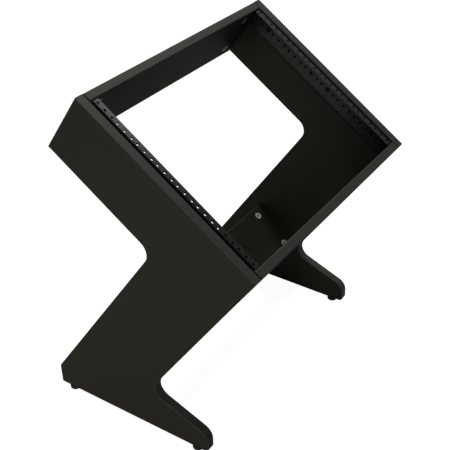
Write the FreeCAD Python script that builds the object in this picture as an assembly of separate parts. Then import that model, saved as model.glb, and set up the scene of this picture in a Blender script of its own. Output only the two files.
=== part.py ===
import FreeCAD, Part
import math
import os
from collections import namedtuple

Vector = FreeCAD.Vector
Placement = FreeCAD.Placement
Rotation = FreeCAD.Rotation

# Angled rack stand for 19 inch equipment, in millimetres. X runs across the rack, +Y to the back, +Z up.
# The origin is on the floor, under the middle of the stand's box.

# Rack bay, after the 19 inch rack standard
rack_units = 8
unit_height = 44.45
holes_per_unit = 3
unit_mount_hole = 0
first_hole_offset = 6.35
hole_step = 15.875
rail_opening = 450.0
rail_hole_inset = 7.55
rail_hole_diameter = 4.8
rail_end_gap = 2.8

# Rails, bent from steel sheet
rail_flange = 13.1
rail_depth = 36.5
rail_thickness = 2.0
rail_bend_radius = 0.5
rail_setback = 0.8
side_hole_setback = 17.7
side_hole_diameter = 5.0

# Screws and spacers that hold each rail off its side panel
screw_rows = (2, 10, 13, 21)
spacer_thickness = 4.6
spacer_diameter = 10.0
screw_diameter = 4.0
screw_head_diameter = 8.0
screw_head_height = 2.6

# Boards and their edge bands
panel_thickness = 18.0
board_thickness = 15.9
band_thickness = 2.0
band_chamfer = 1.2
blind_wall = 4.0

# Outline of the side panels
bay_depth = 127.0
face_tilt = 35.0
front_corner_height = 410.3
leg_width = 151.9
heel_setback = 446.5
heel_height = 40.2
foot_length = 344.5
toe_height = 39.0
toe_slope = 21.5
inside_radius = 25.0
toe_radius = 25.0
toe_corner_radius = 7.0

# Stretcher between the legs
stretcher_setback = 360.0
stretcher_front_inset = 8.5
stretcher_back_inset = 29.1

# Cam joints between the boards and the side panels
cam_diameter = 15.0
cam_clearance = 0.1
cam_sink = 0.2
cam_floor = 3.4
cam_setback = 34.6
cam_slot_gap = 0.3
board_cam_inset = 23.5
stretcher_cam_inset = 17.15
bolt_diameter = 7.0
bolt_clearance = 0.5
bolt_thread_diameter = 5.0
bolt_neck_diameter = 4.0
bolt_head_diameter = 6.4
bolt_head_length = 3.0
dowel_diameter = 8.0
dowel_board_depth = 18.5
fixing_clearance = 0.05
hole_end_gap = 0.5

# Levelling feet
foot_diameter = 21.0
foot_height = 8.0
foot_gap = 0.3
foot_chamfer = 2.0
heel_foot_inset = 26.0
toe_foot_inset = 27.5
stem_diameter = 6.0
stem_clearance = 0.05
stem_length = 25.0
stem_root = 5.0
insert_diameter = 9.0
insert_length = 15.0
insert_recess = 0.5

# Flat sides that stand for the round of the fixings and of most holes, which keeps the model light.
# The hole of each rack unit that equipment is placed by stays truly round.
fixing_sides = 6
cam_sides = 12
side_hole_sides = 8
foot_sides = 20

# Sizes that follow from those above
inner_half = rail_opening / 2 + rail_flange + spacer_thickness
outer_half = inner_half + panel_thickness
rail_length = rack_units * unit_height
board_inside = rail_length / 2 + rail_end_gap
board_outside = board_inside + board_thickness
board_middle = board_thickness / 2
panel_hole_depth = panel_thickness - blind_wall
cam_pocket_depth = board_thickness - cam_floor
panel_bottom = foot_height + foot_gap
stretcher_low = stretcher_front_inset - board_outside
stretcher_high = leg_width - stretcher_back_inset - board_outside
sides = {"left": -1, "right": 1}

# The bay's own frame has its origin in the middle of the face: X across, Y up the face, Z out of it.
tilt = math.radians(face_tilt)
face_up = Vector(0, math.cos(tilt), math.sin(tilt))
face_back = Vector(0, math.sin(tilt), -math.cos(tilt))
front_corner = Vector(0, -heel_setback / 2, panel_bottom + front_corner_height)
bay_centre = front_corner + face_up * board_outside
bay = Placement(bay_centre, Rotation(Vector(1, 0, 0), face_tilt))
heel_y = front_corner.y + heel_setback
toe_y = heel_y - foot_length
foot_places = {"rear": heel_y - heel_foot_inset, "front": toe_y + toe_foot_inset}


def on_panel(up, back):
    """Point on the middle plane, from its distances up the face and back from it."""
    return bay_centre + face_up * up + face_back * back


def placed(shape, placement):
    moved = shape.copy()
    moved.Placement = placement.multiply(moved.Placement)
    return moved


def repeated(shape, placements):
    """Group of equal pieces, each one a solid of its own."""
    return Part.Compound([placed(shape, placement) for placement in placements])


def bar(diameter, start, end, flat_sides=fixing_sides):
    """Bar with flat sides between two points, its corners on the diameter; it also cuts its own hole."""
    angles = [2 * math.pi * corner / flat_sides for corner in range(flat_sides + 1)]
    corners = [Vector(math.cos(angle), math.sin(angle), 0) * (diameter / 2) for angle in angles]
    along = end - start
    solid = Part.Face(Part.makePolygon(corners)).extrude(Vector(0, 0, along.Length))
    return placed(solid, Placement(start, Rotation(Vector(0, 0, 1), along)))


def across_bar(diameter, start, end):
    """Bar along X in the middle of a board's thickness, in a joint's frame."""
    return bar(diameter, Vector(start, 0, board_middle), Vector(end, 0, board_middle))


def upright_bar(diameter, low, high, flat_sides=fixing_sides):
    return bar(diameter, Vector(0, 0, low), Vector(0, 0, high), flat_sides)


def rounded_wire(corners):
    """Closed wire through the corners, given as (point, radius), each turned into an arc of its radius."""
    turns = []
    for index, (point, radius) in enumerate(corners):
        to_last = (corners[index - 1][0] - point).normalize()
        to_next = (corners[(index + 1) % len(corners)][0] - point).normalize()
        half_angle = to_last.getAngle(to_next) / 2
        reach = radius / math.tan(half_angle)
        middle = (to_last + to_next).normalize() * (radius / math.sin(half_angle) - radius)
        turns.append((point + to_last * reach, point + middle, point + to_next * reach))
    edges = []
    for index, (start, middle, end) in enumerate(turns):
        if corners[index][1] > 0:
            edges.append(Part.Arc(start, middle, end).toShape())
        edges.append(Part.LineSegment(end, turns[(index + 1) % len(turns)][0]).toShape())
    return Part.Wire(edges)


# Joints: each board meets a side panel with two cam fittings and a dowel between them.
# face_middle is on the face that shows the cams, inward goes into the board, spread runs along its end.
Board = namedtuple("Board", "face_middle inward spread width cam_inset")

boards = {
    "top": Board(
        face_middle=Vector(0, board_inside, -bay_depth / 2),
        inward=Vector(0, 1, 0),
        spread=Vector(0, 0, 1),
        width=bay_depth,
        cam_inset=board_cam_inset,
    ),
    "bottom": Board(
        face_middle=Vector(0, -board_outside, -bay_depth / 2),
        inward=Vector(0, 1, 0),
        spread=Vector(0, 0, 1),
        width=bay_depth,
        cam_inset=board_cam_inset,
    ),
    "stretcher": Board(
        face_middle=Vector(0, (stretcher_low + stretcher_high) / 2, -stretcher_setback),
        inward=Vector(0, 0, -1),
        spread=Vector(0, 1, 0),
        width=stretcher_high - stretcher_low,
        cam_inset=stretcher_cam_inset,
    ),
}


def joint_frame(board, side, along):
    """Frame on the board's face, X towards the side panel and Z into the board."""
    to_panel = Vector(side, 0, 0)
    centre = board.face_middle + to_panel * (inner_half - cam_setback) + board.spread * along
    turn = Rotation(to_panel, board.inward.cross(to_panel), board.inward, "ZXY")
    return bay.multiply(Placement(centre, turn))


def cam_frames(board, side):
    reach = board.width / 2 - board.cam_inset
    return [joint_frame(board, side, along) for along in (-reach, reach)]


def dowel_frame(board, side):
    return joint_frame(board, side, 0)


def cam_lock():
    """Zinc cam in its pocket, with the hollow that grips the bolt's head."""
    hollow = across_bar(bolt_head_diameter + 2 * cam_slot_gap, -cam_slot_gap, cam_diameter)
    return upright_bar(cam_diameter, cam_sink, cam_pocket_depth, cam_sides).cut(hollow)


def connecting_bolt():
    """Bolt from the cam's middle into the side panel: head, neck, shank and threaded end."""
    neck_end = cam_diameter / 2 + cam_clearance + cam_slot_gap
    head = across_bar(bolt_head_diameter, 0, bolt_head_length)
    neck = across_bar(bolt_neck_diameter, bolt_head_length, neck_end)
    shank = across_bar(bolt_diameter, neck_end, cam_setback)
    thread = across_bar(bolt_thread_diameter, cam_setback, cam_setback + panel_hole_depth - hole_end_gap)
    return head.fuse([neck, shank, thread])


def cam_drillings():
    """Pocket and bore in the board, and pilot hole in the panel, for one cam fitting."""
    return [
        upright_bar(cam_diameter + 2 * cam_clearance, 0, cam_pocket_depth, cam_sides),
        across_bar(bolt_diameter + 2 * bolt_clearance, 0, cam_setback),
        across_bar(bolt_thread_diameter + 2 * fixing_clearance, cam_setback, cam_setback + panel_hole_depth),
    ]


def dowel():
    return across_bar(dowel_diameter, cam_setback - dowel_board_depth,
                      cam_setback + panel_hole_depth - hole_end_gap)


def dowel_drilling():
    return across_bar(dowel_diameter + 2 * fixing_clearance, cam_setback - dowel_board_depth - hole_end_gap,
                      cam_setback + panel_hole_depth)


def joint_drillings(board, side):
    drillings = [placed(cut, frame) for frame in cam_frames(board, side) for cut in cam_drillings()]
    drillings.append(placed(dowel_drilling(), dowel_frame(board, side)))
    return drillings


# Rack rails: steel angles with holes in both flanges, standing off the side panels on spacers
def rail_rows():
    """Heights of the hole rows on the bay's face, from the top down."""
    unit_tops = [rail_length / 2 - unit * unit_height for unit in range(rack_units)]
    return [top - first_hole_offset - hole * hole_step for top in unit_tops for hole in range(holes_per_unit)]


def rack_rail(side):
    inner = side * rail_opening / 2
    outer = inner + side * rail_flange
    wall = outer - side * rail_thickness
    front = -rail_setback
    behind = front - rail_thickness
    back = front - rail_depth
    section = rounded_wire([
        (Vector(inner, 0, front), 0),
        (Vector(outer, 0, front), rail_bend_radius + rail_thickness),
        (Vector(outer, 0, back), 0),
        (Vector(wall, 0, back), 0),
        (Vector(wall, 0, behind), rail_bend_radius),
        (Vector(inner, 0, behind), 0),
    ])
    angle = Part.Face(section).extrude(Vector(0, rail_length, 0))
    angle.translate(Vector(0, -rail_length / 2, 0))
    through = Vector(0, 0, rail_thickness)
    sideways = Vector(side * rail_thickness, 0, 0)
    holes = []
    for row, height in enumerate(rail_rows()):
        front_hole = Vector(inner + side * rail_hole_inset, height, behind)
        side_hole = Vector(wall, height, front - side_hole_setback)
        holes.append(bar(side_hole_diameter, side_hole, side_hole + sideways, side_hole_sides))
        if row % holes_per_unit == unit_mount_hole:
            holes.append(Part.makeCylinder(rail_hole_diameter / 2, rail_thickness, front_hole))
        else:
            holes.append(bar(rail_hole_diameter, front_hole, front_hole + through, cam_sides))
    return placed(angle.cut(holes), bay)


def rail_screw_frame(side, row):
    """Frame under the screw's head, on the rail's side flange, with Z along the screw into the side panel."""
    head_seat = Vector(
        side * (rail_opening / 2 + rail_flange - rail_thickness),
        rail_rows()[row],
        -rail_setback - side_hole_setback,
    )
    return bay.multiply(Placement(head_seat, Rotation(Vector(0, 0, 1), Vector(side, 0, 0))))


def rail_screw():
    """Screw through the rail and its spacer into the panel."""
    tip = rail_thickness + spacer_thickness + panel_hole_depth - hole_end_gap
    head = upright_bar(screw_head_diameter, -screw_head_height, 0, cam_sides)
    return head.fuse(upright_bar(screw_diameter, 0, tip))


def rail_screw_drilling():
    start = rail_thickness + spacer_thickness
    return upright_bar(screw_diameter + 2 * fixing_clearance, start, start + panel_hole_depth)


def rail_spacer():
    start = rail_thickness
    end = rail_thickness + spacer_thickness
    bore = upright_bar(screw_diameter + 2 * fixing_clearance, start, end)
    return upright_bar(spacer_diameter, start, end, cam_sides).cut(bore)


# Levelling feet: a moulded base on a threaded stem, screwed into an insert in the panel's lower edge
def foot_frame(side, foot_y):
    """Frame in the panel's lower edge, over the foot, with Z up."""
    return Placement(Vector(side * (inner_half + panel_thickness / 2), foot_y, panel_bottom), Rotation())


def foot_base():
    base = upright_bar(foot_diameter, -panel_bottom, -foot_gap, foot_sides)
    tread = [edge for edge in base.Edges if edge.BoundBox.ZMax < -panel_bottom + foot_chamfer]
    socket = upright_bar(stem_diameter + 2 * fixing_clearance, -foot_gap - stem_root, -foot_gap)
    return base.makeChamfer(foot_chamfer, tread).cut(socket)


def foot_stem():
    return upright_bar(stem_diameter, -foot_gap - stem_root, stem_length)


def foot_insert():
    start = insert_recess
    end = insert_recess + insert_length
    return upright_bar(insert_diameter, start, end, cam_sides).cut(
        upright_bar(stem_diameter + 2 * stem_clearance, start, end))


def insert_drilling():
    return upright_bar(insert_diameter + 2 * fixing_clearance, 0, insert_recess + insert_length, cam_sides)


def stem_drilling():
    return upright_bar(stem_diameter + 2 * bolt_clearance, 0, stem_length + hole_end_gap)


# Side panels: a Z-shaped board with an edge band all round
def panel_face():
    """Outline from the top of the bay, round by the heel, the toe and the instep to the bay's lower front."""
    leg_back = on_panel(leg_width - board_outside, bay_depth)
    heel_top = Vector(0, heel_y, panel_bottom + heel_height)
    toe_top = Vector(0, toe_y, panel_bottom + toe_height)
    slope = math.tan(math.radians(toe_slope))
    drop = front_corner.z - toe_top.z - slope * (front_corner.y - toe_top.y)
    instep = front_corner + face_back * (drop / (slope * face_back.y - face_back.z))
    return Part.Face(rounded_wire([
        (on_panel(board_outside, 0), 0),
        (on_panel(board_outside, bay_depth), 0),
        (leg_back, inside_radius),
        (heel_top, 0),
        (Vector(0, heel_y, panel_bottom), 0),
        (Vector(0, toe_y, panel_bottom), toe_corner_radius),
        (toe_top, toe_radius),
        (instep, inside_radius),
        (front_corner, 0),
    ]))


def panel_solid(face, side):
    solid = face.extrude(Vector(panel_thickness, 0, 0))
    solid.translate(Vector(inner_half if side > 0 else -outer_half, 0, 0))
    return solid


def panel_core(side):
    """The panel without its edge band, before it is drilled."""
    return panel_solid(panel_face().makeOffset2D(-band_thickness, 2), side)


def side_panel(side):
    drillings = []
    for board in boards.values():
        drillings += joint_drillings(board, side)
    for row in screw_rows:
        drillings.append(placed(rail_screw_drilling(), rail_screw_frame(side, row)))
    for foot_y in foot_places.values():
        drillings.append(placed(insert_drilling(), foot_frame(side, foot_y)))
        drillings.append(placed(stem_drilling(), foot_frame(side, foot_y)))
    return panel_core(side).cut(drillings)


def panel_edge_band(side):
    whole = panel_solid(panel_face(), side)
    rims = [edge for edge in whole.Edges if edge.BoundBox.XLength < band_chamfer]
    holes = [placed(insert_drilling(), foot_frame(side, foot_y)) for foot_y in foot_places.values()]
    return whole.makeChamfer(band_chamfer, rims).cut([panel_core(side)] + holes)


# Boards between the side panels, each with a band on its two long edges
def board_box(low, high, front, back):
    return Part.makeBox(2 * inner_half, high - low, back - front, Vector(-inner_half, low, -back))


def drilled_board(board, low, high, front, back):
    drillings = [cut for side in sides.values() for cut in joint_drillings(board, side)]
    return placed(board_box(low, high, front, back), bay).cut(drillings)


def edge_band(low, high, front, back, outward):
    """Strip along a board's edge with its two outer long edges broken; outward points away from the board."""
    strip = board_box(low, high, front, back)
    middle = strip.CenterOfMass
    outer = [
        edge for edge in strip.Edges
        if edge.BoundBox.XLength > inner_half and (edge.CenterOfMass - middle).dot(outward) > 0
    ]
    return placed(strip.makeChamfer(band_chamfer, outer), bay)


def bay_board(name, low):
    high = low + board_thickness
    front = band_thickness
    back = bay_depth - band_thickness
    return {
        f"{name}_board": drilled_board(boards[name], low, high, front, back),
        f"{name}_front_band": edge_band(low, high, 0, front, Vector(0, 0, 1)),
        f"{name}_rear_band": edge_band(low, high, back, bay_depth, Vector(0, 0, -1)),
    }


def leg_stretcher():
    front = stretcher_setback
    back = stretcher_setback + board_thickness
    low = stretcher_low + band_thickness
    high = stretcher_high - band_thickness
    return {
        "rear_stretcher": drilled_board(boards["stretcher"], low, high, front, back),
        "stretcher_upper_band": edge_band(high, stretcher_high, front, back, Vector(0, 1, 0)),
        "stretcher_lower_band": edge_band(stretcher_low, low, front, back, Vector(0, -1, 0)),
    }


# The whole stand, piece by piece
nodes = {}
nodes.update(bay_board("top", board_inside))
nodes.update(bay_board("bottom", -board_outside))
nodes.update(leg_stretcher())

for side_name, side in sides.items():
    screw_frames = [rail_screw_frame(side, row) for row in screw_rows]
    nodes[f"{side_name}_side_panel"] = side_panel(side)
    nodes[f"{side_name}_panel_edge_band"] = panel_edge_band(side)
    nodes[f"{side_name}_rack_rail"] = rack_rail(side)
    nodes[f"{side_name}_rail_screws"] = repeated(rail_screw(), screw_frames)
    nodes[f"{side_name}_rail_spacers"] = repeated(rail_spacer(), screw_frames)
    for end_name, foot_y in foot_places.items():
        frame = foot_frame(side, foot_y)
        nodes[f"{end_name}_{side_name}_foot_base"] = placed(foot_base(), frame)
        nodes[f"{end_name}_{side_name}_foot_stem"] = placed(foot_stem(), frame)
        nodes[f"{end_name}_{side_name}_foot_insert"] = placed(foot_insert(), frame)

for board_name, board in boards.items():
    frames = [frame for side in sides.values() for frame in cam_frames(board, side)]
    nodes[f"{board_name}_cam_locks"] = repeated(cam_lock(), frames)
    nodes[f"{board_name}_connecting_bolts"] = repeated(connecting_bolt(), frames)
    nodes[f"{board_name}_dowels"] = repeated(dowel(), [dowel_frame(board, side) for side in sides.values()])

os.makedirs("parts", exist_ok=True)
for node_name, shape in nodes.items():
    shape.exportStep(f"parts/{node_name}.step")
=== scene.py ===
import math

import bpy
from mathutils import Matrix, Vector


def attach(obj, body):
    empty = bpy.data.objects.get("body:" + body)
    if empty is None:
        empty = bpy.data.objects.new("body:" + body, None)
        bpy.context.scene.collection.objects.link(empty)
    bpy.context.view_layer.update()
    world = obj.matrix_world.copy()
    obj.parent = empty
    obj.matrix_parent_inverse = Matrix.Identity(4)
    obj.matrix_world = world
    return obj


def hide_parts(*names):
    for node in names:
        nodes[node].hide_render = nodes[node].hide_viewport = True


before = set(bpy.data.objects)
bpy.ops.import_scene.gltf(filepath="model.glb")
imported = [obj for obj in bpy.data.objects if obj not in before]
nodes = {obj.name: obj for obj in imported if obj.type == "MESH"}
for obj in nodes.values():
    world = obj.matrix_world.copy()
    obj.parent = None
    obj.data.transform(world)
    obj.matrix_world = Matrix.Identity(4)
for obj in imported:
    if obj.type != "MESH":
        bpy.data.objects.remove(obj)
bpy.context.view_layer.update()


# Side panels: two Z-shaped sheets of 18 mm particle board, faced on both sides with black melamine paper.
# The press plate leaves a fine pebble in the melamine, so the black is satin and never mirrors.
# They are cut by router, banded all round and drilled for the cam fittings, rails and feet.
mm = 0.001


def linear(hex_colour):
    """The linear colour that a shader takes, from an sRGB hex value."""
    shares = [int(hex_colour[start:start + 2], 16) / 255 for start in (1, 3, 5)]
    return [*(s / 12.92 if s <= 0.04045 else ((s + 0.055) / 1.055) ** 2.4 for s in shares), 1.0]


def add_node(tree, kind, settings, **inputs):
    """Adds a node; settings are its attributes; an input is a value, or a node and its output to link."""
    node = tree.nodes.new(kind)
    for name, value in settings.items():
        setattr(node, name, value)
    for name, value in inputs.items():
        socket = node.inputs[name.replace("_", " ")]
        if isinstance(value, tuple):
            tree.links.new(value[0].outputs[value[1]], socket)
        else:
            socket.default_value = value
    return node


def start_material(name, **sockets):
    """A new material with the given values on its shader; returns it, its tree and its shader."""
    material = bpy.data.materials.new(name)
    material.use_nodes = True
    shader = material.node_tree.nodes["Principled BSDF"]
    for socket, value in sockets.items():
        shader.inputs[socket.replace("_", " ")].default_value = value
    return material, material.node_tree, shader


def speckle(tree, shader, size, dark, light, smooth, rough, height):
    """Mottles a shader's colour, roughness and relief with grains of one size.

    Real grains that are too fine to show are drawn at this coarser size, so that they do.
    """
    place = add_node(tree, "ShaderNodeTexCoord", {})
    grain = add_node(
        tree, "ShaderNodeTexNoise", {}, Vector=(place, "Object"), Scale=1 / size, Detail=3.0)
    colour = add_node(
        tree, "ShaderNodeMixRGB", {}, Fac=(grain, "Fac"), Color1=linear(dark), Color2=linear(light))
    gloss = add_node(
        tree, "ShaderNodeMapRange", {}, Value=(grain, "Fac"), To_Min=smooth, To_Max=rough)
    relief = add_node(
        tree, "ShaderNodeBump", {}, Height=(grain, "Fac"), Distance=height, Strength=1.0)
    tree.links.new(colour.outputs["Color"], shader.inputs["Base Color"])
    tree.links.new(gloss.outputs["Result"], shader.inputs["Roughness"])
    tree.links.new(relief.outputs["Normal"], shader.inputs["Normal"])


def select_only(piece):
    """Selects one piece alone and makes it the active one."""
    bpy.ops.object.select_all(action="DESELECT")
    piece.select_set(True)
    bpy.context.view_layer.objects.active = piece


def dress(piece, slot, body, *replaced):
    """Gives a finished piece its body and hides what it stands for; its record slot is not used."""
    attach(piece, body)
    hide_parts(*replaced)


def cad_copy(node, name, *materials):
    """Piece with a CAD node's shape in one closed mesh, with the given finishes."""
    piece = bpy.data.objects.new(name, nodes[node].data.copy())
    bpy.context.scene.collection.objects.link(piece)
    piece.data.materials.clear()
    for material in materials:
        piece.data.materials.append(material)
    select_only(piece)
    bpy.ops.object.mode_set(mode="EDIT")
    bpy.ops.mesh.select_all(action="SELECT")
    bpy.ops.mesh.remove_doubles(threshold=0.002 * mm)
    bpy.ops.object.mode_set(mode="OBJECT")
    return piece


def faced_board(node, facing):
    """Board with melamine on the two faces that look along a direction, and the near-black core, partly
    painted shade, everywhere else.
    """
    piece = cad_copy(node, f"{node}_faced", melamine, core_glue_and_joint_shade)
    for face in piece.data.polygons:
        face.material_index = int(abs(face.normal.dot(facing)) < 0.99)
    dress(piece, "black_board", "rack", node)


# The press plate's pebble is well under a millimetre, so it is drawn coarser, at 1.6 mm, to show.
melamine, tree, shader = start_material("black_melamine_board", IOR=1.5, Specular_IOR_Level=0.08)
speckle(tree, shader, 1.6 * mm, "#282721", "#323029", 0.5, 0.62, 0.03 * mm)
# Sawn particle board under black glue, drawn near-black as painted shade so that the open joints read
# dark.
# It is seen only in the open joints, and it also lines the bands' joint grooves.
core_glue_and_joint_shade, tree, shader = start_material("sawn_core_glue_and_painted_joint_shade", Specular_IOR_Level=0.0)
speckle(tree, shader, 1.5 * mm, "#0B0907", "#171310", 0.85, 0.95, 0.15 * mm)
for side in ("left", "right"):
    faced_board(f"{side}_side_panel", Vector((1, 0, 0)))


# Edge bands of the side panels: 2 mm black PVC strip, glued round the sawn edge and trimmed with a
# radius. The cutter leaves a fine open joint beside the melamine, and the strip is a little shinier
# than the board.
panel_middle = 251.7
near_panel_face = 8.9
rim_round = 0.2
joint_groove = 0.55


def choose_edges(piece, rule):
    """Goes into edit mode with the edges selected that a rule accepts by middle, direction and fold."""
    if piece.mode == "EDIT":
        bpy.ops.object.mode_set(mode="OBJECT")
    select_only(piece)
    bpy.ops.object.mode_set(mode="EDIT")
    bpy.ops.mesh.select_mode(type="EDGE")
    bpy.ops.mesh.select_all(action="DESELECT")
    bpy.ops.object.mode_set(mode="OBJECT")
    sides = {}
    for face in piece.data.polygons:
        for key in face.edge_keys:
            sides.setdefault(key, []).append(face.normal)
    for edge in piece.data.edges:
        start, end = (piece.data.vertices[index].co for index in edge.vertices)
        normals = sides[edge.key]
        fold = math.degrees(normals[0].angle(normals[-1]))
        edge.select = rule((start + end) / 2 / mm, (end - start).normalized(), fold)
    bpy.ops.object.mode_set(mode="EDIT")


def apply_modifier(piece, kind, **settings):
    """Adds a modifier with its settings to a piece and applies it."""
    select_only(piece)
    modifier = piece.modifiers.new(kind.title(), kind)
    for name, value in settings.items():
        setattr(modifier, name, value)
    bpy.ops.object.modifier_apply(modifier=modifier.name)


def smooth_below(piece, degrees):
    """Shades a piece smooth over folds under an angle, and keeps its flat faces flat."""
    select_only(piece)
    bpy.ops.object.shade_smooth_by_angle(angle=math.radians(degrees))
    apply_modifier(piece, "WEIGHTED_NORMAL", weight=100, keep_sharp=True)


def trimmed_band(node, on_rim, on_joint):
    """Band with the CAD strip's shape, its rims rounded and a groove cut beside its board."""
    piece = cad_copy(node, f"{node}_trimmed", banding, core_glue_and_joint_shade)
    bpy.ops.object.mode_set(mode="EDIT")
    bpy.ops.mesh.select_all(action="SELECT")
    bpy.ops.mesh.dissolve_limited(angle_limit=math.radians(0.5))
    choose_edges(piece, on_rim)
    bpy.ops.mesh.bevel(offset=rim_round * mm, segments=2)
    choose_edges(piece, on_joint)
    # The groove's faces take the near-black core finish, as painted shade in the joint.
    bpy.ops.mesh.bevel(offset=joint_groove * mm, segments=2, profile=0, material=1)
    bpy.ops.object.mode_set(mode="OBJECT")
    smooth_below(piece, 25)
    return piece


def panel_rim(middle, way, fold):
    """True on both edges of the strip's slanted corners, which run round the panel."""
    return 35 < fold < 55 and abs(way.x) < 0.1


def panel_joint(middle, way, fold):
    """True on the strip's square edges in the planes of the panel's faces."""
    return fold > 70 and abs(way.x) < 0.1 and abs(abs(middle.x) - panel_middle) > near_panel_face


banding, tree, shader = start_material("black_pvc_edge_band", IOR=1.5, Specular_IOR_Level=0.2)
speckle(tree, shader, 1.2 * mm, "#383732", "#46443F", 0.4, 0.5, 0.015 * mm)
for side in ("left", "right"):
    node = f"{side}_panel_edge_band"
    dress(trimmed_band(node, panel_rim, panel_joint), "edge_band", "rack", node)


# Top board, bottom board and rear stretcher: the same black melamine board, square cut to fit between
# the panels. Only their long edges are banded, and each band stops just short of the panels, which
# leaves a dark joint there.
bay_tilt = math.radians(35)
near_board_end = 242.5
end_gap = 1.5


def board_rim(middle, way, fold):
    """True on both edges of the strip's slanted corners, which run along the board."""
    return 35 < fold < 55 and abs(way.x) > 0.9


def board_joint(middle, way, fold):
    """True on the strip's square edges along the board."""
    return fold > 70 and abs(way.x) > 0.9


face_up = Vector((0, math.cos(bay_tilt), math.sin(bay_tilt)))
face_back = Vector((0, math.sin(bay_tilt), -math.cos(bay_tilt)))
faced_board("top_board", face_up)
faced_board("bottom_board", face_up)
faced_board("rear_stretcher", face_back)
for node in ("top_front_band", "top_rear_band", "bottom_front_band", "bottom_rear_band",
             "stretcher_upper_band", "stretcher_lower_band"):
    band = trimmed_band(node, board_rim, board_joint)
    for end in (-1, 1):
        choose_edges(band, lambda middle, way, fold: middle.x * end > near_board_end)
        bpy.ops.transform.translate(value=(-end_gap * end * mm, 0, 0))
    bpy.ops.object.mode_set(mode="OBJECT")
    dress(band, "edge_band", "rack", node)


# Dowels: six fluted beech pegs, one in the middle of each board's end, glued into the board and dry
# in the panel. They only steer the boards while the cams pull the joints shut, and none of them shows
# once it is built.
def paint(node, material):
    """Gives a CAD node its finish."""
    nodes[node].data.materials.clear()
    nodes[node].data.materials.append(material)


beech, tree, shader = start_material("plain_beech", Roughness=0.6)
place = add_node(tree, "ShaderNodeTexCoord", {})
# Beech rays are short dark flecks along the peg, about 0.4 mm wide and 3 mm long.
fleck_scale = [1 / (3 * mm), 1 / (0.4 * mm), 1 / (0.4 * mm)]
flecks = add_node(tree, "ShaderNodeMapping", {}, Vector=(place, "Object"), Scale=fleck_scale)
rays = add_node(tree, "ShaderNodeTexNoise", {}, Vector=(flecks, "Vector"), Scale=1.0, Detail=2.0)
wood = add_node(
    tree, "ShaderNodeMixRGB", {}, Fac=(rays, "Fac"), Color1=linear("#C9A473"), Color2=linear("#AC8454"))
tree.links.new(wood.outputs["Color"], shader.inputs["Base Color"])
for board in ("top", "bottom", "stretcher"):
    paint(f"{board}_dowels", beech)


# Connecting bolts: steel pins with a ball-like head, screwed into the panels so that the cams can pull
# on them. They are zinc plated and clear passivated, so the steel is pale and slightly blue, and the
# boards hide them.
plated, tree, shader = start_material("zinc_plated_steel", Metallic=1.0)
speckle(tree, shader, 0.7 * mm, "#A7AAAD", "#BFC2C4", 0.28, 0.4, 0.01 * mm)
for board in ("top", "bottom", "stretcher"):
    paint(f"{board}_connecting_bolts", plated)


# Cam locks: die-cast zinc drums, about 15 mm across, pressed into pockets in the boards and turned
# with a screwdriver. Each has a rounded rim, a sunk face, a cross slot to turn it by, a pointer, and
# a window for the bolt's head.
def turned(name, sides, profile):
    """Round piece on the Z axis: a ring drawn out through steps of radius and height, in millimetres."""
    radius, height = profile[0]
    bpy.ops.object.select_all(action="DESELECT")
    bpy.ops.mesh.primitive_circle_add(vertices=sides, radius=radius * mm, location=(0, 0, height * mm))
    piece = bpy.context.object
    piece.name = name
    bpy.ops.object.transform_apply()
    bpy.ops.object.mode_set(mode="EDIT")
    bpy.ops.mesh.select_all(action="SELECT")
    for next_radius, next_height in profile[1:]:
        rise = (0, 0, (next_height - height) * mm)
        bpy.ops.mesh.extrude_edges_move(TRANSFORM_OT_translate={"value": rise})
        bpy.ops.transform.resize(value=(next_radius / radius, next_radius / radius, 1))
        radius, height = next_radius, next_height
    bpy.ops.mesh.select_all(action="SELECT")
    bpy.ops.mesh.remove_doubles(threshold=0.002 * mm)
    bpy.ops.mesh.fill_holes(sides=0)
    bpy.ops.mesh.normals_make_consistent(inside=False)
    # Extruding leaves the parts in another order each run, so they are sorted from a point off every axis.
    bpy.context.scene.cursor.location = (13.1 * mm, 27.7 * mm, 41.9 * mm)
    bpy.ops.mesh.select_all(action="SELECT")
    bpy.ops.mesh.sort_elements(type="CURSOR_DISTANCE", elements={"VERT", "EDGE", "FACE"})
    bpy.ops.object.mode_set(mode="OBJECT")
    return piece


def block(name, low, high):
    """Square block between two corners, in millimetres, as a start for shaping."""
    bpy.ops.object.select_all(action="DESELECT")
    middle = [(a + b) / 2 * mm for a, b in zip(low, high)]
    extent = [(b - a) * mm for a, b in zip(low, high)]
    bpy.ops.mesh.primitive_cube_add(size=1, location=middle, scale=extent)
    piece = bpy.context.object
    piece.name = name
    bpy.ops.object.transform_apply()
    return piece


def choose_faces(piece, rule):
    """Goes into edit mode with the faces selected that a rule accepts by their middle and normal."""
    if piece.mode == "EDIT":
        bpy.ops.object.mode_set(mode="OBJECT")
    select_only(piece)
    bpy.ops.object.mode_set(mode="EDIT")
    bpy.ops.mesh.select_mode(type="FACE")
    bpy.ops.mesh.select_all(action="DESELECT")
    bpy.ops.object.mode_set(mode="OBJECT")
    for face in piece.data.polygons:
        face.select = rule(face.center / mm, face.normal)
    bpy.ops.object.mode_set(mode="EDIT")


def combine(piece, operation, *others):
    """Cuts other shapes out of a piece or joins them to it; they are used up.

    A shape keeps its own finish, or takes the piece's where it has none.
    """
    for other in others:
        if not other.data.materials:
            other.data.materials.append(piece.data.materials[0])
        apply_modifier(
            piece, "BOOLEAN", object=other, operation=operation, solver="EXACT", material_mode="TRANSFER")
        bpy.data.objects.remove(other)


def set_out(pattern, name, places):
    """One piece made of copies of a pattern, each from its own mesh, at the given places."""
    bpy.ops.object.select_all(action="DESELECT")
    for place in places:
        piece = bpy.data.objects.new(name, pattern.data.copy())
        bpy.context.scene.collection.objects.link(piece)
        piece.matrix_world = place
        piece.select_set(True)
    bpy.context.view_layer.objects.active = piece
    bpy.ops.object.transform_apply()
    bpy.ops.object.join()
    piece.name = name
    return piece


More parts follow.
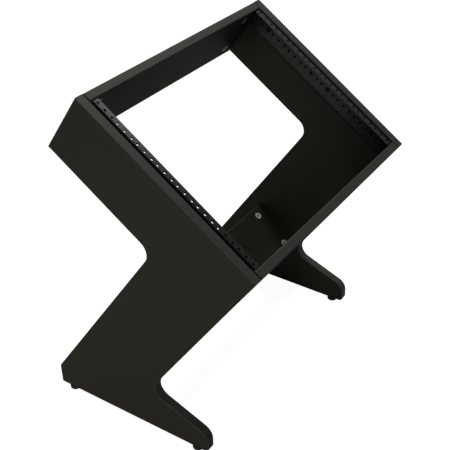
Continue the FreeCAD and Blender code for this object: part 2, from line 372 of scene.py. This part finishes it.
# The bay's own frame is in the middle of its face: X across, Y up the face, Z out of it.
bay_back = -62.287
bay_height = 531.308
bay = Matrix.Translation((0, bay_back * mm, bay_height * mm)) @ Matrix.Rotation(bay_tilt, 4, "X")

cam = turned("cam_lock", 48, [
    (5.2, 0.75), (5.6, 0.7), (5.9, 0.35), (6.2, 0.2), (6.9, 0.2), (7.2, 0.35), (7.3, 0.7), (7.3, 2.6),
    (7.0, 2.9), (7.0, 10.9), (7.3, 11.2), (7.3, 12.2), (7.0, 12.5),
])
# A thin dull oxide covers the casting and scatters light, so it looks pale grey from every side.
die_cast, tree, shader = start_material("dull_die_cast_zinc", Metallic=0.25)
speckle(tree, shader, 0.8 * mm, "#CDCECB", "#E2E3E0", 0.42, 0.56, 0.012 * mm)
cam.data.materials.append(die_cast)
# The cross is painted near-black as painted shade, so it reads as a dark slot in the pale drum.
painted_slot_shade, tree, shader = start_material("cross_slot_painted_shade", Specular_IOR_Level=0.1)
speckle(tree, shader, 0.8 * mm, "#1E1E1C", "#2C2C2A", 0.6, 0.75, 0.012 * mm)
cross = [
    block("cross_arm", (-3.8, -0.95, -1), (3.8, 0.95, 4.2)),
    block("cross_arm", (-0.95, -3.8, -1), (0.95, 3.8, 4.1)),
]
for arm in cross:
    arm.data.materials.append(painted_slot_shade)
    choose_faces(arm, lambda middle, normal: normal.z > 0.9)
    bpy.ops.transform.resize(value=(0.6, 0.6, 1))
    bpy.ops.object.mode_set(mode="OBJECT")
pointer = block("pointer", (4.2, -0.9, -1), (5.4, 0.9, 1.05))
choose_faces(pointer, lambda middle, normal: normal.x > 0.9)
bpy.ops.transform.resize(value=(1, 0.15, 1))
bpy.ops.object.mode_set(mode="OBJECT")
window = block("bolt_window", (-0.3, -3.5, 4.45), (9, 3.5, 11.45))
combine(cam, "DIFFERENCE", *cross, pointer, window)
choose_faces(cam, lambda middle, normal: True)
bpy.ops.mesh.remove_doubles(threshold=0.004 * mm)
bpy.ops.object.mode_set(mode="OBJECT")
smooth_below(cam, 28)

# Each board's cams, by height up the bay's face and place out of it, and the way they sink in.
cam_reach = 208.1
cam_rows = {
    "top": ([(180.6, -23.5), (180.6, -103.5)], (0, 1, 0)),
    "bottom": ([(-196.5, -23.5), (-196.5, -103.5)], (0, 1, 0)),
    "stretcher": ([(-170.85, -360), (-90.85, -360)], (0, 0, -1)),
}
for board, (spots, inward) in cam_rows.items():
    places = []
    for side in (-1, 1):
        along, into = Vector((side, 0, 0)), Vector(inward)
        turn = Matrix((along, into.cross(along), into)).transposed().to_4x4()
        for up, out in spots:
            spot = Matrix.Translation((side * cam_reach * mm, up * mm, out * mm))
            places.append(bay @ spot @ turn)
    node = f"{board}_cam_locks"
    dress(set_out(cam, f"{node}_cast", places), "zinc_cam", "rack", node)
bpy.data.objects.remove(cam)


# Rack rails: two angles bent from 2 mm steel sheet, punched in both flanges at the 19 inch spacing,
# eight spaces long. The black powder coat rounds the punched rims and has a fine orange peel, so it
# catches soft streaks of light.
sheet = 2
rail_inside = 225
rail_outside = 238.1
rail_half = 177.8
rail_front = -0.8
flange_depth = 34.5
outer_bend = 2.5
inner_bend = 0.5
coated_rim = 0.25
bend_across = rail_outside - sheet
front_flange_back = rail_front - sheet

rail = block(
    "rack_rail", (rail_inside, -rail_half, front_flange_back), (rail_outside, rail_half, rail_front))
choose_faces(rail, lambda middle, normal: True)
bpy.ops.mesh.bisect(plane_co=(bend_across * mm, 0, 0), plane_no=(1, 0, 0))
choose_faces(rail, lambda middle, normal: normal.z < -0.9 and middle.x > bend_across)
bpy.ops.mesh.extrude_faces_move(TRANSFORM_OT_shrink_fatten={"value": flange_depth * mm})
outer_corner = Vector((rail_outside, 0, rail_front))
choose_edges(rail, lambda middle, way, fold: abs(way.y) > 0.9 and (middle - outer_corner).length < 0.1)
bpy.ops.mesh.bevel(offset=outer_bend * mm, segments=6)
inner_corner = Vector((bend_across, 0, front_flange_back))
choose_edges(rail, lambda middle, way, fold: abs(way.y) > 0.9 and (middle - inner_corner).length < 0.1)
bpy.ops.mesh.bevel(offset=inner_bend * mm, segments=3)
bpy.ops.mesh.select_all(action="SELECT")
bpy.ops.mesh.dissolve_limited(angle_limit=math.radians(1))
bpy.ops.object.mode_set(mode="OBJECT")
apply_modifier(
    rail, "BEVEL", width=coated_rim * mm, segments=2, limit_method="ANGLE", angle_limit=math.radians(40))
choose_faces(rail, lambda middle, normal: True)
bpy.ops.mesh.remove_doubles(threshold=0.02 * mm)
bpy.ops.mesh.dissolve_degenerate(threshold=0.005 * mm)
bpy.ops.mesh.normals_make_consistent(inside=False)
bpy.ops.object.mode_set(mode="OBJECT")

coat, tree, shader = start_material("black_powder_coat", IOR=1.5, Specular_IOR_Level=0.42)
speckle(tree, shader, 0.9 * mm, "#1C1A16", "#25231E", 0.21, 0.3, 0.006 * mm)
# Inside the holes the cut steel is painted near-black as painted shade, so they stay dark.
painted_hole_shade, tree, shader = start_material("hole_wall_painted_shade", Specular_IOR_Level=0.1)
speckle(tree, shader, 0.4 * mm, "#0A0A09", "#121210", 0.55, 0.7, 0.02 * mm)

# The front holes are drawn through to a short collar and tapped; rings of 0.75 mm pitch stand for
# the thread. No ring's edge lies in a plane of the steel's faces, so the cuts come out clean.
collar = turned("hole_collar", 24, [
    (3.45, -1.5), (3.45, -2.04), (3.25, -2.25), (3.15, -2.7), (3, -2.85),
])
front_punch = turned("front_punch", 24, [
    (2.9, 0.4), (2.68, -0.04), (2.35, -0.2), (2.05, -0.35), (2.05, -0.5), (2.35, -0.8), (2.05, -1.1),
    (2.05, -1.25), (2.35, -1.55), (2.05, -1.85), (2.05, -2), (2.35, -2.3), (2.05, -2.6), (2.15, -2.8),
    (2.4, -3.3),
])
side_punch = turned("side_punch", 24, [
    (2.95, 0.4), (2.84, -0.03), (2.6, -0.12), (2.5, -0.4), (2.5, -1.7), (2.6, -1.95), (2.7, -2.4),
])
for piece, finish in ((rail, coat), (collar, coat), (front_punch, painted_hole_shade), (side_punch, painted_hole_shade)):
    piece.data.materials.append(finish)
space_height = 44.45
hole_drops = (6.35, 22.225, 38.1)
front_hole_across = 232.55
side_hole_out = -18.5
rows = [rail_half - space_height * space - drop for space in range(8) for drop in hole_drops]
front_places = [
    Matrix.Translation((front_hole_across * mm, row * mm, rail_front * mm)) for row in rows]
side_turn = Matrix.Rotation(math.radians(90), 4, "Y")
side_places = [
    Matrix.Translation((rail_outside * mm, row * mm, side_hole_out * mm)) @ side_turn for row in rows]
combine(rail, "UNION", set_out(collar, "hole_collars", front_places))
combine(rail, "DIFFERENCE", set_out(front_punch, "front_punches", front_places))
combine(rail, "DIFFERENCE", set_out(side_punch, "side_punches", side_places))
for pattern in (collar, front_punch, side_punch):
    bpy.data.objects.remove(pattern)
smooth_below(rail, 30)

half_turn = Matrix.Rotation(math.pi, 4, "Z")
for side, place in (("right", bay), ("left", bay @ half_turn)):
    node = f"{side}_rack_rail"
    dress(set_out(rail, f"{node}_punched", [place]), "rail_steel", "rack", node)
bpy.data.objects.remove(rail)


# Rail spacers: short tubes of black moulded plastic, threaded on the rail screws to hold the rails off
# the panels. Their ends have small moulded radii, and the plastic is matt with a fine bloom.
spacer = turned("rail_spacer", 32, [
    (2.1, 0.2), (2.3, 0), (4.6, 0), (4.9, 0.12), (5, 0.4), (5, 4.2), (4.9, 4.48), (4.6, 4.6), (2.3, 4.6),
    (2.1, 4.4), (2.1, 0.2),
])
smooth_below(spacer, 35)
moulded, tree, shader = start_material("black_moulded_nylon", IOR=1.53, Specular_IOR_Level=0.2)
speckle(tree, shader, 0.6 * mm, "#1B1B1A", "#232322", 0.5, 0.65, 0.02 * mm)
spacer.data.materials.append(moulded)
screw_rows = [rows[index] for index in (2, 10, 13, 21)]


def rail_places(side, reach):
    """Places along a rail's side flange at a distance from the middle, with Z towards the side panel."""
    turn = Matrix.Rotation(math.radians(90 * side), 4, "Y")
    spots = [Matrix.Translation((side * reach * mm, row * mm, side_hole_out * mm)) for row in screw_rows]
    return [bay @ spot @ turn for spot in spots]


for side, way in (("left", -1), ("right", 1)):
    node = f"{side}_rail_spacers"
    places = rail_places(way, rail_outside)
    dress(set_out(spacer, f"{node}_moulded", places), "spacer_plastic", "rack", node)
bpy.data.objects.remove(spacer)


# Rail screws: pan-head wood screws with a cross recess, driven through rail and spacer into the side
# panel. They are plated with black zinc, a dull film that takes in light, so the head is as dark as
# the rail.
screw = turned("rail_screw", 32, [
    (1.2, -2.6), (2.4, -2.5), (3.2, -2.15), (3.75, -1.5), (4, -0.7), (4, -0.2), (3.85, 0), (2, 0),
    (2, 6.4), (1.7, 6.8), (1.7, 17.6), (0.3, 19.9),
])
black_zinc, tree, shader = start_material("black_zinc_plated_steel", Specular_IOR_Level=0.12)
speckle(tree, shader, 0.5 * mm, "#11110F", "#191917", 0.5, 0.65, 0.01 * mm)
screw.data.materials.append(black_zinc)
recess = [
    block("recess_arm", (-1.75, -0.4, -3), (1.75, 0.4, -0.9)),
    block("recess_arm", (-0.4, -1.75, -3), (0.4, 1.75, -0.9)),
]
for arm in recess:
    choose_faces(arm, lambda middle, normal: normal.z > 0.9)
    bpy.ops.transform.resize(value=(0.5, 0.5, 1))
    bpy.ops.object.mode_set(mode="OBJECT")
combine(screw, "DIFFERENCE", *recess)
smooth_below(screw, 32)
for side, way in (("left", -1), ("right", 1)):
    node = f"{side}_rail_screws"
    places = rail_places(way, bend_across)
    dress(set_out(screw, f"{node}_driven", places), "black_screw", "rack", node)
bpy.data.objects.remove(screw)


# Foot inserts: brass sleeves with barbs, pressed into the panels' lower edges, with a thread inside for
# the stem. Turned brass is a warm, slightly uneven yellow where it looks out of the board.
insert = turned("foot_insert", 32, [
    (3.05, 0.3), (3.3, 0), (4.1, 0), (4.35, 0.3), (4.38, 2.2), (3.95, 2.8), (4.38, 4.6), (3.95, 5.2),
    (4.38, 7), (3.95, 7.6), (4.38, 9.4), (3.95, 10), (4.38, 11.8), (3.95, 12.4), (4.38, 14.4), (4.1, 15),
    (3.3, 15), (3.05, 14.7), (3.05, 0.3),
])
smooth_below(insert, 30)
brass, tree, shader = start_material("turned_brass", Metallic=1.0)
speckle(tree, shader, 0.5 * mm, "#B08A45", "#C9A25A", 0.25, 0.38, 0.01 * mm)
insert.data.materials.append(brass)
insert_bottom = 8.8
front_foot = -93.75
rear_foot = 197.25
feet = {
    "front_left": (-panel_middle, front_foot), "front_right": (panel_middle, front_foot),
    "rear_left": (-panel_middle, rear_foot), "rear_right": (panel_middle, rear_foot),
}
for foot, (across, back) in feet.items():
    node = f"{foot}_foot_insert"
    place = Matrix.Translation((across * mm, back * mm, insert_bottom * mm))
    dress(set_out(insert, f"{node}_turned", [place]), "insert_brass", "rack", node)
bpy.data.objects.remove(insert)


# Foot stems: M6 steel studs with a rolled thread, moulded into the foot bases and screwed up into the
# inserts. The thread is a true helix of 1 mm pitch, and its plating is the bolts' zinc.
pitch = 1
thread_root = 2.45
thread_depth = 0.45
thread_turns = 34
thread_steps = 24
bpy.ops.object.select_all(action="DESELECT")
bpy.ops.mesh.primitive_plane_add(size=1 * mm, location=(thread_root * mm, 0, 1 * mm))
stem = bpy.context.object
stem.name = "foot_stem"
bpy.ops.object.transform_apply()
bpy.ops.object.mode_set(mode="EDIT")
bpy.ops.mesh.select_mode(type="VERT")
bpy.ops.mesh.select_all(action="SELECT")
bpy.ops.mesh.merge(type="CENTER")
for out, rise in ((0, 0.15), (thread_depth, 0.3), (0, 0.1), (-thread_depth, 0.3), (0, 0.15)):
    bpy.ops.mesh.extrude_vertices_move(TRANSFORM_OT_translate={"value": (out * mm, 0, rise * mm)})
bpy.ops.object.mode_set(mode="OBJECT")
apply_modifier(
    stem, "SCREW", angle=2 * math.pi, screw_offset=pitch * mm, iterations=thread_turns,
    steps=thread_steps, render_steps=thread_steps)
# The ends are cut at heights that miss the helix's own points, so that each cut closes cleanly.
for height, side in ((3.004, -1), (33.304, 1)):
    choose_faces(stem, lambda middle, normal: True)
    bpy.ops.mesh.remove_doubles(threshold=0.002 * mm)
    cut = {"plane_co": (0, 0, height * mm), "plane_no": (0, 0, side), "threshold": 0.0001 * mm}
    bpy.ops.mesh.bisect(use_fill=True, clear_outer=True, **cut)
bpy.ops.mesh.select_all(action="SELECT")
bpy.ops.mesh.normals_make_consistent(inside=False)
bpy.ops.object.mode_set(mode="OBJECT")
smooth_below(stem, 35)
stem.data.materials.append(plated)
for foot, (across, back) in feet.items():
    node = f"{foot}_foot_stem"
    place = Matrix.Translation((across * mm, back * mm, 0))
    dress(set_out(stem, f"{node}_threaded", [place]), "plated_stem", f"{foot}_foot", node)
bpy.data.objects.remove(stem)


# Foot bases: round black pads moulded over the stems' lower ends, turned by hand to level the stand.
# They have a sunk tread, rounded rims and a dished top, in plain matt plastic.
base = turned("foot_base", 56, [
    (6.6, 0.7), (7.2, 0.6), (7.5, 0.1), (7.8, 0), (8.5, 0), (9.3, 0.25), (10, 0.9), (10.4, 1.8),
    (10.5, 2.8), (10.5, 6.4), (10.35, 7.2), (9.9, 7.8), (9.2, 8), (5.2, 8), (4.8, 7.9), (4.5, 7.5),
    (2.6, 7.4),
])
smooth_below(base, 35)
pad, tree, shader = start_material("black_moulded_abs", IOR=1.53, Specular_IOR_Level=0.15)
speckle(tree, shader, 0.9 * mm, "#22211F", "#2B2A27", 0.48, 0.6, 0.02 * mm)
base.data.materials.append(pad)
for foot, (across, back) in feet.items():
    node = f"{foot}_foot_base"
    place = Matrix.Translation((across * mm, back * mm, 0))
    dress(set_out(base, f"{node}_moulded", [place]), "foot_plastic", f"{foot}_foot", node)
bpy.data.objects.remove(base)


# Studio: a floor of matt paper that runs out of sight, in a room that is white to the camera.
# Metal and gloss show both dimmed, because black pieces that mirrored the whole white would turn grey.
# Soft boxes light the stand from the right, the front, the left and behind, and a strip from above.
def seen_level(tree, to_camera, to_mirrors, to_rest):
    """Strength of a background to the camera, in metal and glass, and as light on the rest."""
    rays = add_node(tree, "ShaderNodeLightPath", {})
    mirrored = add_node(tree, "ShaderNodeMath", {"operation": "MAXIMUM"})
    tree.links.new(rays.outputs["Is Glossy Ray"], mirrored.inputs[0])
    tree.links.new(rays.outputs["Is Transmission Ray"], mirrored.inputs[1])
    dim = add_node(
        tree, "ShaderNodeMapRange", {}, Value=(mirrored, "Value"), To_Min=to_rest, To_Max=to_mirrors)
    level = add_node(tree, "ShaderNodeMath", {"operation": "MULTIPLY_ADD"})
    tree.links.new(rays.outputs["Is Camera Ray"], level.inputs[0])
    level.inputs[1].default_value = to_camera - to_rest
    tree.links.new(dim.outputs["Result"], level.inputs[2])
    return level.outputs["Value"]


bpy.ops.mesh.primitive_plane_add(size=14, location=(0, 0, 0))
floor = bpy.context.object
floor.name = "studio_floor"
paper, tree, shader = start_material("white_paper", Roughness=0.9)
shader.inputs["Base Color"].default_value = linear("#B8B8B8")
shader.inputs["Emission Color"].default_value = (1, 1, 1, 1)
floor_level = seen_level(tree, to_camera=0.95, to_mirrors=0.06, to_rest=0)
tree.links.new(floor_level, shader.inputs["Emission Strength"])
floor.data.materials.append(paper)

world = bpy.data.worlds.new("studio_room")
bpy.context.scene.world = world
world.use_nodes = True
tree = world.node_tree
room_level = seen_level(tree, to_camera=1.0, to_mirrors=0.1, to_rest=0.012)
tree.links.new(room_level, tree.nodes["Background"].inputs["Strength"])
tree.nodes["Background"].inputs["Color"].default_value = (1, 1, 1, 1)


def soft_box(name, place, aim, width, length, power):
    """Flat lamp at a place, turned to face a point, in metres and watts."""
    bpy.ops.object.light_add(type="AREA", location=place)
    lamp = bpy.context.object
    lamp.name = name
    lamp.data.shape = "RECTANGLE"
    lamp.data.size = width
    lamp.data.size_y = length
    lamp.data.energy = power
    lamp.rotation_euler = (Vector(aim) - Vector(place)).to_track_quat("-Z", "Y").to_euler()


stand_middle = (0, 0, 0.4)
soft_box("key_soft_box", (3.95, -0.9, 4.8), stand_middle, 0.9, 0.9, 15)
soft_box("back_soft_box", (0.8, 0.58, 1.8), stand_middle, 0.45, 0.45, 12)
# The strip hangs in the plane of the left panel, so it lights that panel's edges and hardly its faces.
soft_box("overhead_strip", (-0.252, 0.1, 1.45), (-0.252, 0.1, 0), 0.1, 0.4, 3.4)
soft_box("right_soft_box", (2.1, -0.4, 1.65), stand_middle, 1.1, 1.1, 1.1)
soft_box("front_soft_box", (1.4, -1.6, 1.2), stand_middle, 1.1, 1.1, 5)
soft_box("left_soft_box", (-1.8, 0.1, 0.28), (0, 0.1, 0.28), 1.2, 0.5, 12.5)

# Camera: about 1.2 m above the floor, in front of the stand and to its left, looking down on it.
# Its focal length and its off-centre framing were fitted to the rails' hole rows in the photograph.
photo_width = 450
focal_pixels = 893.2
centre_pixels = (269.3, 188.3)
camera_place = (-1.1465, -0.7949, 1.2262)
camera_turn = (58.79, -0.08, -58.23)
bpy.ops.object.camera_add(
    location=camera_place,
    rotation=[math.radians(angle) for angle in camera_turn],
)
camera = bpy.context.object
camera.data.sensor_width = 36.0
camera.data.lens = focal_pixels / photo_width * camera.data.sensor_width
camera.data.shift_x = (photo_width / 2 - centre_pixels[0]) / photo_width
camera.data.shift_y = (centre_pixels[1] - photo_width / 2) / photo_width
bpy.context.scene.camera = camera
bpy.context.scene.view_settings.view_transform = "Standard"
